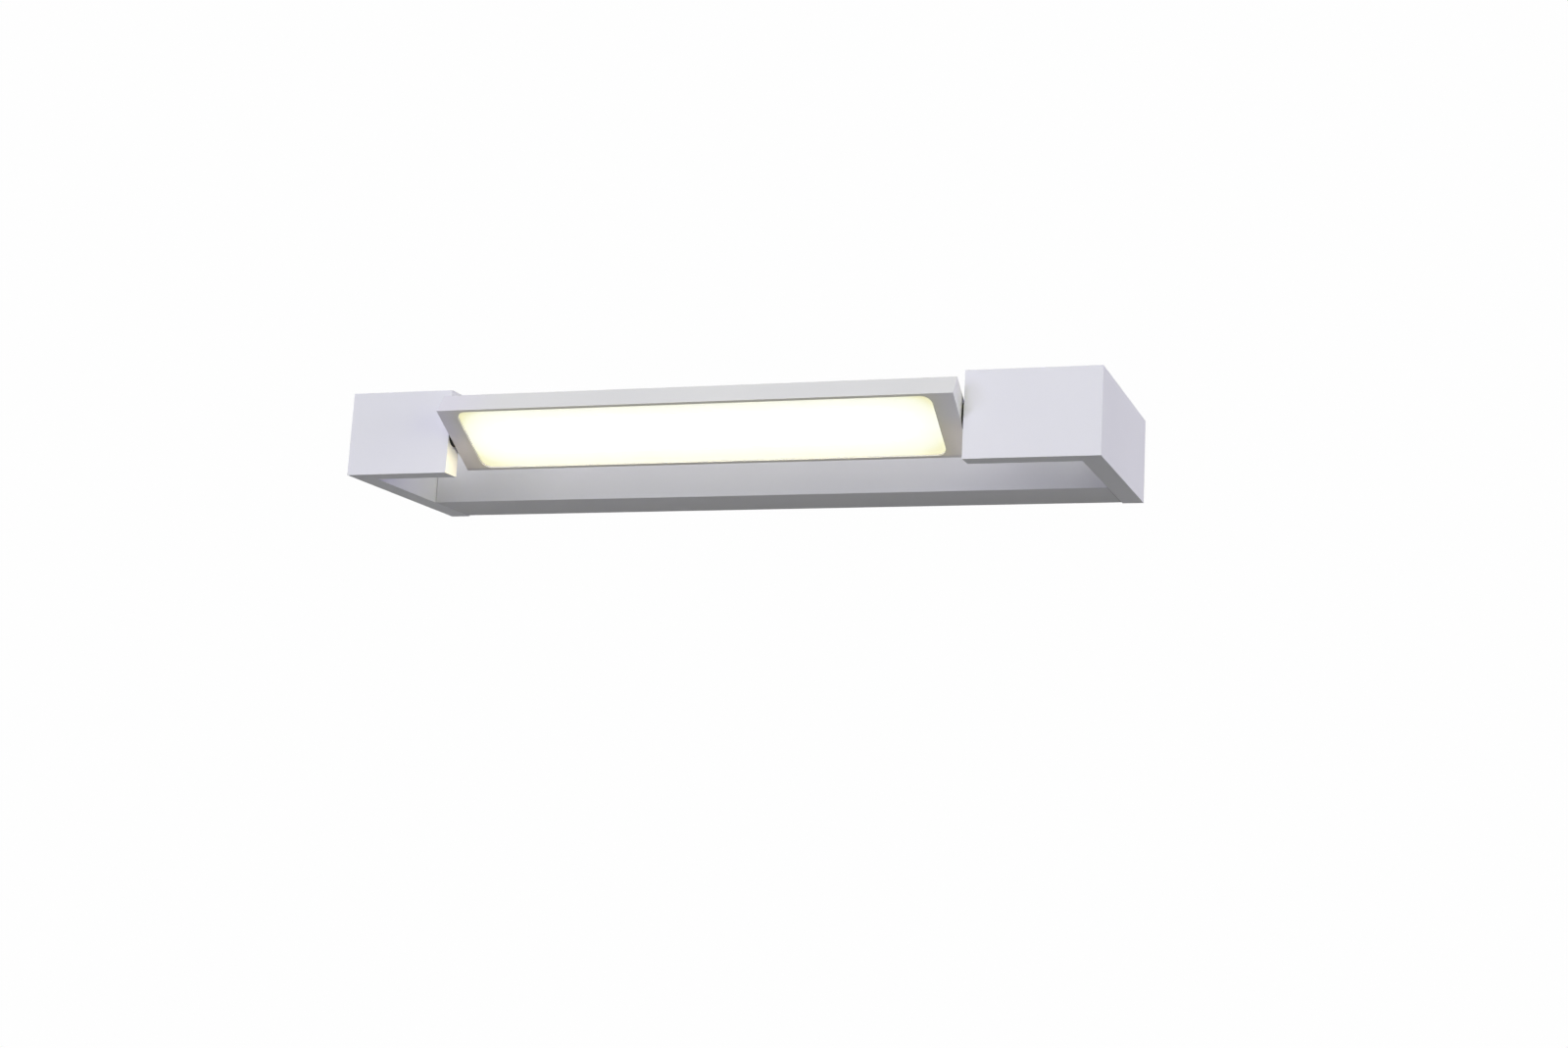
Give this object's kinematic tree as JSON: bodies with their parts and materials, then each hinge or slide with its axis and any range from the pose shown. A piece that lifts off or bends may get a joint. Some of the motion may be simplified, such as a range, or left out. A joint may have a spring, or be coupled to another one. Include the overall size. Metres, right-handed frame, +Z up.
{
  "type": "bathroom wall light",
  "caption": "White rectangular frame that stands out from a wall, with a flat glowing lamp head in its front side that tilts about its long axis.",
  "frame": {"origin": "middle of the wall bracket's rear face, which lies on the wall: half-way along the lamp and half-way up it", "axes": "+X along the lamp, to the right of someone who faces the wall; +Y into the wall; +Z up"},
  "size_m": [0.45, 0.1373, 0.0507],
  "materials": {
    "white_paint": "fine-textured matt powder coat",
    "opal_plate": "satin opal, lit from behind",
    "zinc_steel": "zinc plated, satin",
    "bright_steel": "nickel plated",
    "raw_aluminium": "milled",
    "black_nylon": "matt",
    "black_rubber": "matt",
    "white_plastic": "fine moulded",
    "green_board": "lacquered",
    "white_board": "white solder mask",
    "ferrite": "dark ferrite and tape",
    "capacitor_sleeve": "shrunk sleeve",
    "brown_wire": "smooth insulation",
    "blue_wire": "smooth insulation",
    "green_wire": "smooth insulation",
    "white_silicone": "matt"
  },
  "bodies": {
    "wall_frame": {"left_arm": "white_paint", "right_arm": "white_paint", "left_arm_cover": "white_paint", "right_arm_cover": "white_paint", "bar_housing": "white_paint", "wall_bracket": "zinc_steel", "left_housing_screw": "bright_steel", "right_housing_screw": "bright_steel", "left_upper_arm_screw": "zinc_steel", "left_lower_arm_screw": "zinc_steel", "right_upper_arm_screw": "zinc_steel", "right_lower_arm_screw": "zinc_steel", "cable_grommet": "black_rubber", "lead_grommet": "black_rubber", "terminal_block": "white_plastic", "terminal_screw_1": "zinc_steel", "terminal_screw_2": "zinc_steel", "terminal_screw_3": "zinc_steel", "driver_case": "white_plastic", "driver_lid": "white_plastic", "driver_board": "green_board", "driver_transformer": "ferrite", "driver_capacitor": "capacitor_sleeve", "driver_choke": "ferrite", "left_driver_screw": "zinc_steel", "right_driver_screw": "zinc_steel", "live_wire": "brown_wire", "neutral_wire": "blue_wire", "earth_wire": "green_wire", "earth_tag": "bright_steel", "earth_screw": "bright_steel", "low_voltage_lead": "white_silicone", "left_pivot_plate": "zinc_steel", "right_pivot_plate": "zinc_steel", "left_friction_washer": "black_nylon", "right_friction_washer": "black_nylon"},
    "lamp_head": {"head_shell": "white_paint", "back_cover": "white_paint", "lens": "opal_plate", "lens_seal": "black_rubber", "reflector_tray": "white_plastic", "led_board": "white_board", "thermal_tape": "white_silicone", "left_pivot_block": "raw_aluminium", "right_pivot_block": "raw_aluminium", "left_pivot_tube": "bright_steel", "right_pivot_tube": "bright_steel", "left_spring_washer": "bright_steel", "right_spring_washer": "bright_steel", "left_lock_nut": "bright_steel", "right_lock_nut": "bright_steel", "stop_collar": "bright_steel", "left_rear_cover_screw": "bright_steel", "left_front_cover_screw": "bright_steel", "right_rear_cover_screw": "bright_steel", "right_front_cover_screw": "bright_steel"}
  },
  "joints": [
    {"name": "head_tilt", "type": "hinge", "parent": "wall_frame", "child": "lamp_head", "pos_m": [0, -0.114, 0], "axis": [1, 0, 0], "range_deg": [-217, 103]}
  ]
}
